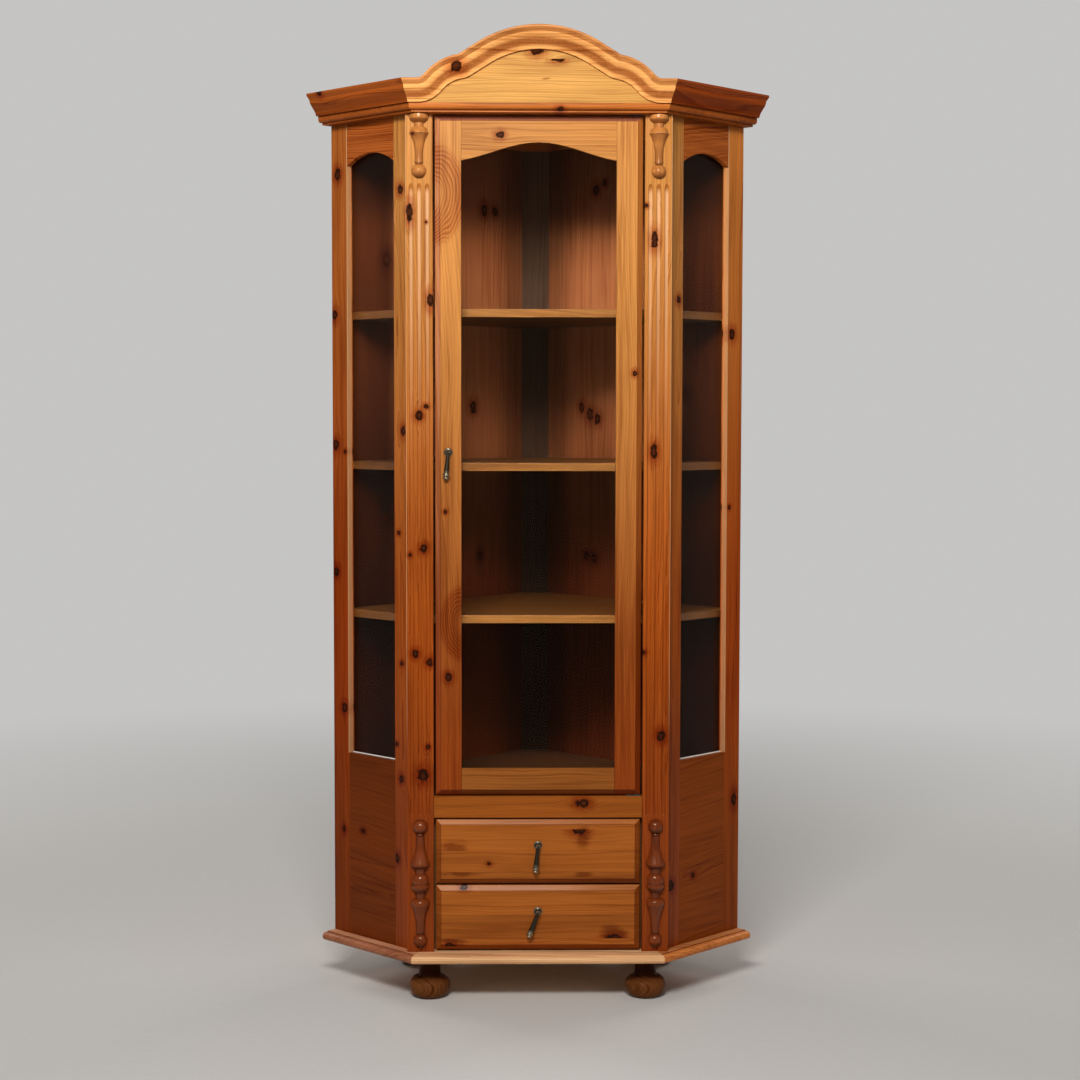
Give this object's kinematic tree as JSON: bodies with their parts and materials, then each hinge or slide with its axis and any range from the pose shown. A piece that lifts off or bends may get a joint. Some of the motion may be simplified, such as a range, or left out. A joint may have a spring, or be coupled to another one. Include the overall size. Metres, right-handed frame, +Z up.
{
  "type": "corner display cabinet",
  "caption": "Tall corner display cabinet: glazed door and angled glazed sides over stacked drawers, fluted posts, bun feet and an arched moulded crown.",
  "frame": {"origin": "on the floor under the middle of the bounding box", "axes": "+X to the viewer's right, +Y to the back and the room's corner, +Z up; the door and drawers face -Y"},
  "size_m": [0.9994, 0.6788, 2.0515],
  "materials": {
    "pale_pine": "clear gloss lacquer",
    "honey_pine": "clear gloss lacquer",
    "dark_pine": "clear gloss lacquer",
    "inside_pine": "thin satin lacquer",
    "clear_glass": "polished",
    "aged_brass": "dark, worn bright on the edges",
    "steel": "plated"
  },
  "bodies": {
    "carcass": {"bottom_board": "honey_pine", "foot_front_left": "honey_pine", "foot_front_right": "honey_pine", "foot_middle_left": "honey_pine", "foot_middle_right": "honey_pine", "foot_rear": "honey_pine", "front_post_left": "honey_pine", "front_post_right": "honey_pine", "outer_post_left": "dark_pine", "outer_post_right": "dark_pine", "side_panel_left": "dark_pine", "side_panel_right": "dark_pine", "side_top_rail_left": "dark_pine", "side_top_rail_right": "dark_pine", "side_glass_left": "clear_glass", "side_glass_right": "clear_glass", "back_panel_left": "inside_pine", "back_panel_right": "inside_pine", "back_corner_board": "inside_pine", "shelf_lower": "honey_pine", "shelf_middle": "honey_pine", "shelf_upper": "honey_pine", "deck_board": "inside_pine", "mid_rail": "honey_pine", "drawer_cheek_left": "inside_pine", "drawer_cheek_right": "inside_pine", "drawer_runner_left": "inside_pine", "drawer_runner_right": "inside_pine", "top_board": "honey_pine", "crown_arch": "honey_pine", "crown_left": "dark_pine", "crown_right": "dark_pine", "pediment_board": "pale_pine", "turning_upper_left": "honey_pine", "turning_upper_right": "honey_pine", "turning_lower_left": "honey_pine", "turning_lower_right": "honey_pine", "pivot_hinge_bottom": "steel", "pivot_hinge_top": "steel", "door_catch": "steel"},
    "door": {"door_stile_left": "honey_pine", "door_stile_right": "honey_pine", "door_bottom_rail": "honey_pine", "door_top_rail": "pale_pine", "door_glass": "clear_glass", "pull_door_rosette": "aged_brass"},
    "drawer_upper": {"drawer_upper_front": "honey_pine", "drawer_upper_box": "inside_pine", "drawer_upper_bottom": "inside_pine", "pull_upper_rosette": "aged_brass"},
    "drawer_lower": {"drawer_lower_front": "honey_pine", "drawer_lower_box": "inside_pine", "drawer_lower_bottom": "inside_pine", "pull_lower_rosette": "aged_brass"},
    "pull_door_spindle": {"pull_door_post": "aged_brass"},
    "pull_door_swing": {"pull_door_drop": "aged_brass"},
    "pull_upper_spindle": {"pull_upper_post": "aged_brass"},
    "pull_upper_swing": {"pull_upper_drop": "aged_brass"},
    "pull_lower_spindle": {"pull_lower_post": "aged_brass"},
    "pull_lower_swing": {"pull_lower_drop": "aged_brass"}
  },
  "joints": [
    {"name": "door_hinge", "type": "hinge", "parent": "carcass", "child": "door", "pos_m": [0.21, -0.26038, 0.443], "axis": [0, 0, 1], "range_deg": [0, 110]},
    {"name": "drawer_upper_slide", "type": "slide", "parent": "carcass", "child": "drawer_upper", "axis": [0, -1, 0], "range_m": [0, 0.3]},
    {"name": "drawer_lower_slide", "type": "slide", "parent": "carcass", "child": "drawer_lower", "axis": [0, -1, 0], "range_m": [0, 0.3]},
    {"name": "pull_door_turn", "type": "hinge", "parent": "door", "child": "pull_door_spindle", "pos_m": [-0.1905, -0.27938, 1.173], "axis": [0, 1, 0], "range_deg": [-95, 85]},
    {"name": "pull_door_lift", "type": "hinge", "parent": "pull_door_spindle", "child": "pull_door_swing", "pos_m": [-0.1905, -0.27938, 1.173], "axis": [-0.9962, 0, 0.0872], "range_deg": [0, 85]},
    {"name": "pull_upper_turn", "type": "hinge", "parent": "drawer_upper", "child": "pull_upper_spindle", "pos_m": [0, -0.27938, 0.334], "axis": [0, 1, 0], "range_deg": [-95.6, 84.4]},
    {"name": "pull_upper_lift", "type": "hinge", "parent": "pull_upper_spindle", "child": "pull_upper_swing", "pos_m": [0, -0.27938, 0.334], "axis": [-0.9952, 0, 0.0976], "range_deg": [0, 85]},
    {"name": "pull_lower_turn", "type": "hinge", "parent": "drawer_lower", "child": "pull_lower_spindle", "pos_m": [0, -0.27938, 0.191], "axis": [0, 1, 0], "range_deg": [-110, 70]},
    {"name": "pull_lower_lift", "type": "hinge", "parent": "pull_lower_spindle", "child": "pull_lower_swing", "pos_m": [0, -0.27938, 0.191], "axis": [-0.9397, 0, 0.342], "range_deg": [0, 85]}
  ]
}
